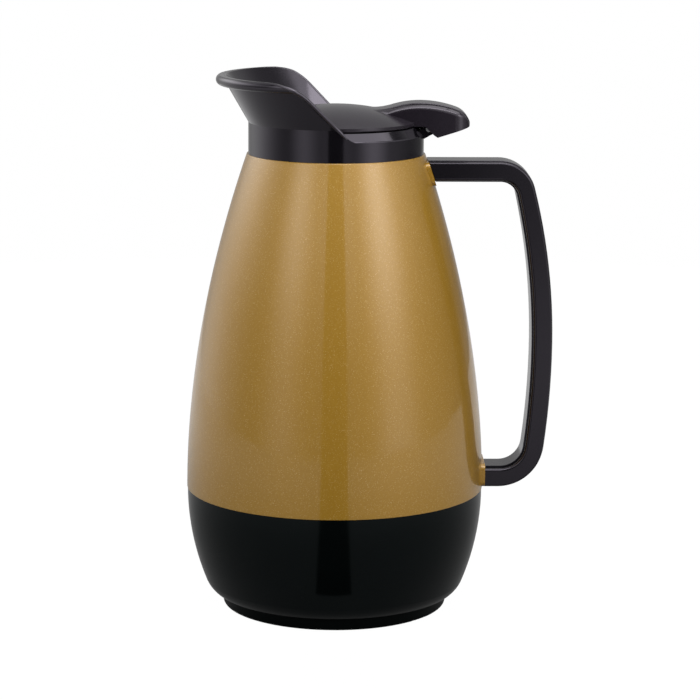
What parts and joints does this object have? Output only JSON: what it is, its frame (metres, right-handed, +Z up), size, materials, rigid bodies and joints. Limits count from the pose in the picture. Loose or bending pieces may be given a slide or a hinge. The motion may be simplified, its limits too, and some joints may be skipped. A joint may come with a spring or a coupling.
{
  "type": "thermal carafe",
  "caption": "Insulated serving carafe with a flared pouring spout, a sprung flip lid with a thumb lever, and a fixed loop handle.",
  "frame": {"origin": "centre of the foot ring's underside", "axes": "+Z up through the mouth, +X towards the handle, -X towards the spout"},
  "size_m": [0.1728, 0.1408, 0.2528],
  "materials": {
    "gold_paint": "metallic gold paint, satin",
    "base_plastic": "black, polished",
    "cap_plastic": "black, moulded",
    "seal_rubber": "black rubber",
    "cushion_rubber": "dark rubber",
    "silvered_glass": "silvered glass",
    "flask_glass": "silvered glass, clear inside",
    "pad_fibre": "pressed fibre",
    "silicone": "translucent silicone",
    "collar_plastic": "black, polished",
    "handle_plastic": "black, polished",
    "cover_plastic": "black, polished",
    "screw_steel": "zinc plated",
    "pin_steel": "ground steel",
    "lid_plastic": "black, polished",
    "plug_plastic": "black, moulded",
    "spring_steel": "spring wire"
  },
  "bodies": {
    "carafe": {"body_shell": "gold_paint", "base_shell": "base_plastic", "bottom_cap": "cap_plastic", "cap_seal": "seal_rubber", "bottom_cushion": "cushion_rubber", "outer_flask": "silvered_glass", "inner_flask": "flask_glass", "flask_spacers": "pad_fibre", "shoulder_ring": "cushion_rubber", "neck_gasket": "silicone", "collar": "collar_plastic", "handle_frame": "handle_plastic", "handle_cover": "cover_plastic", "handle_screws": "screw_steel", "handle_washers": "screw_steel", "hinge_pin": "pin_steel", "lid_spring": "spring_steel"},
    "lid": {"lid_cover": "lid_plastic", "lid_plug": "plug_plastic", "lid_seal": "silicone"}
  },
  "joints": [
    {"name": "lid_hinge", "type": "hinge", "parent": "carafe", "child": "lid", "pos_m": [0.043, 0, 0.2286], "axis": [0, 1, 0], "range_deg": [0, 48], "stiffness_Nm_per_rad": 0.03, "springref_deg": -28.65, "deforming": ["lid_spring"]}
  ]
}
